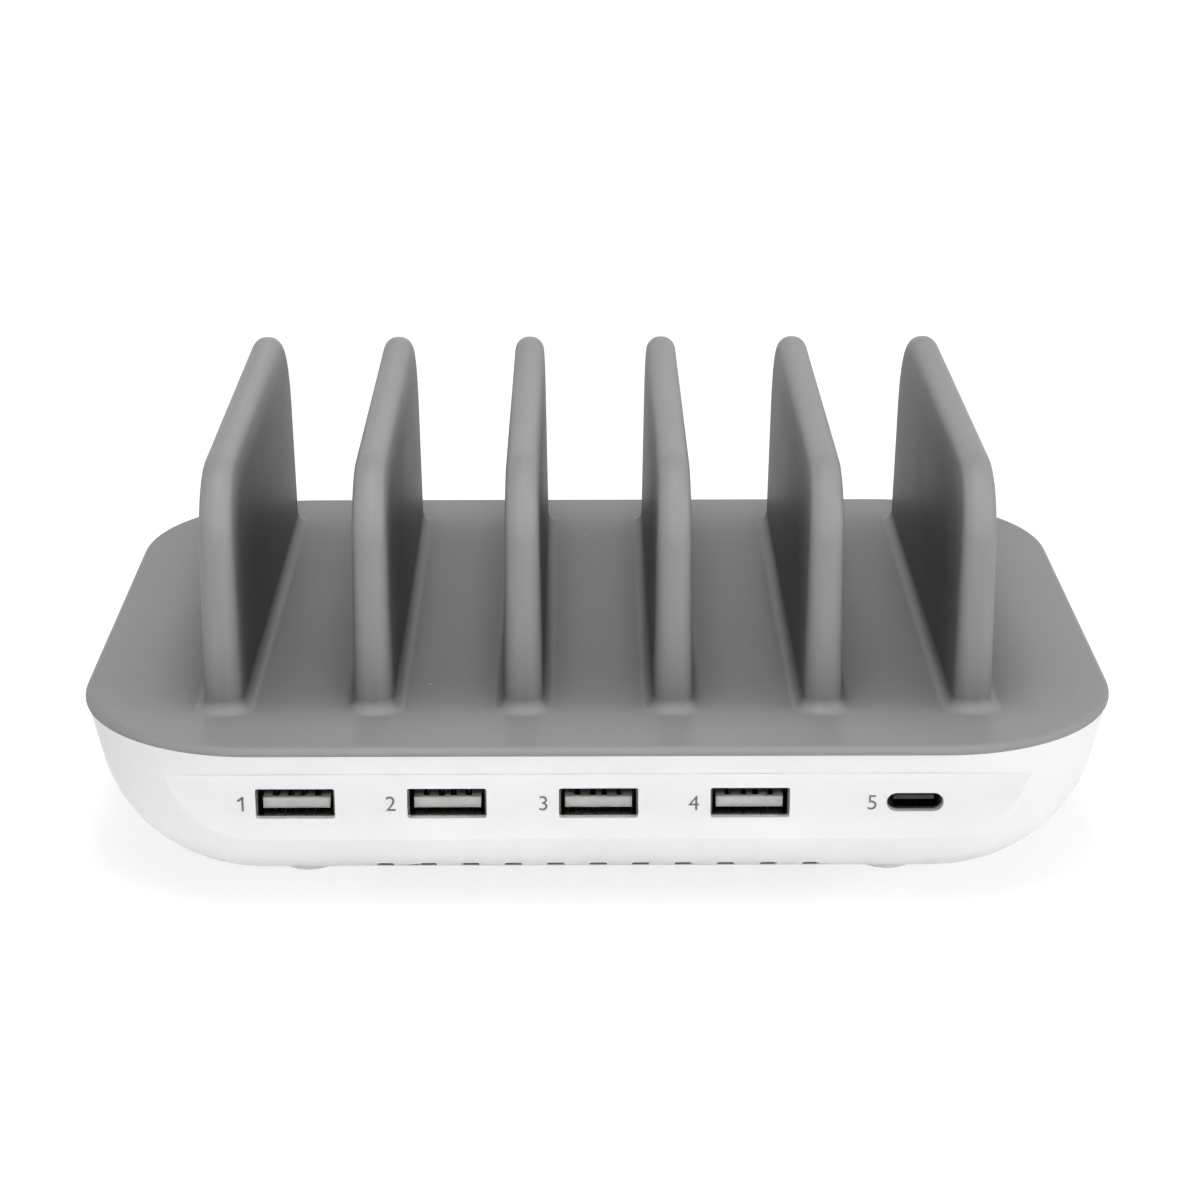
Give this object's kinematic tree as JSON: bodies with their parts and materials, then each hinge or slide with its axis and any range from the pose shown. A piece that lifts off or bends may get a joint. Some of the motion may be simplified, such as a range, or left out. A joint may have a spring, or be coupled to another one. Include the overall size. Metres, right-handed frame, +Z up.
{
  "type": "charging station organizer",
  "caption": "Desktop charging station: white boat-shaped power case with a row of USB ports in front, under a grey tray whose upright rounded fins hold phones and tablets on edge.",
  "frame": {"origin": "centre of the footprint on the surface that the feet stand on", "axes": "+X to the right along the row of ports, +Y to the back, +Z up; the ports face -Y"},
  "size_m": [0.175, 0.131, 0.074],
  "materials": {
    "housing_white": "fine satin moulded white plastic",
    "tray_grey": "soft matt mid-grey moulded plastic",
    "foot_rubber": "pale soft rubber",
    "screw_steel": "zinc-plated steel",
    "board_laminate": "green coated glass-fibre laminate",
    "port_shell": "nickel-plated sheet",
    "usb_a_tongue": "off-white moulded insulator",
    "contact_gold": "plated contact metal",
    "black_plastic": "black moulded plastic",
    "ferrite": "dull sintered ferrite",
    "winding_tape": "yellow insulating tape",
    "can_sleeve": "shrunk capacitor sleeve",
    "heatsink_metal": "plain aluminium sheet",
    "copper_wire": "enamelled copper wire",
    "film_yellow": "moulded film capacitor case",
    "fuse_ceramic": "ceramic tube",
    "disc_coating": "dipped epoxy coating"
  },
  "bodies": {
    "root": {"lower_housing": "housing_white", "divider_tray": "tray_grey", "foot_front_left": "foot_rubber", "foot_front_right": "foot_rubber", "foot_rear_left": "foot_rubber", "foot_rear_right": "foot_rubber", "case_screws": "screw_steel", "board_screws": "screw_steel", "main_board": "board_laminate", "usb_a_shell_1": "port_shell", "usb_a_insulator_1": "usb_a_tongue", "usb_a_contacts_1": "contact_gold", "usb_a_shell_2": "port_shell", "usb_a_insulator_2": "usb_a_tongue", "usb_a_contacts_2": "contact_gold", "usb_a_shell_3": "port_shell", "usb_a_insulator_3": "usb_a_tongue", "usb_a_contacts_3": "contact_gold", "usb_a_shell_4": "port_shell", "usb_a_insulator_4": "usb_a_tongue", "usb_a_contacts_4": "contact_gold", "usb_c_shell": "port_shell", "usb_c_insulator": "black_plastic", "usb_c_contacts": "contact_gold", "inlet_body": "black_plastic", "inlet_pins": "contact_gold", "transformer_core": "ferrite", "transformer_bobbin": "black_plastic", "transformer_winding": "winding_tape", "bulk_capacitor_1": "can_sleeve", "bulk_capacitor_2": "can_sleeve", "primary_heatsink": "heatsink_metal", "switching_transistor": "black_plastic", "secondary_heatsink": "heatsink_metal", "output_rectifier": "black_plastic", "output_capacitors": "can_sleeve", "filter_choke_core": "ferrite", "filter_choke_windings": "copper_wire", "x_capacitor": "film_yellow", "bridge_rectifier": "black_plastic", "mains_fuse": "fuse_ceramic", "varistor": "disc_coating", "y_capacitor": "disc_coating", "power_inductor": "ferrite", "optocoupler": "black_plastic", "controller_chip": "black_plastic", "port_controllers": "black_plastic", "type_c_controller": "black_plastic", "port_capacitors": "can_sleeve"}
  },
  "joints": []
}
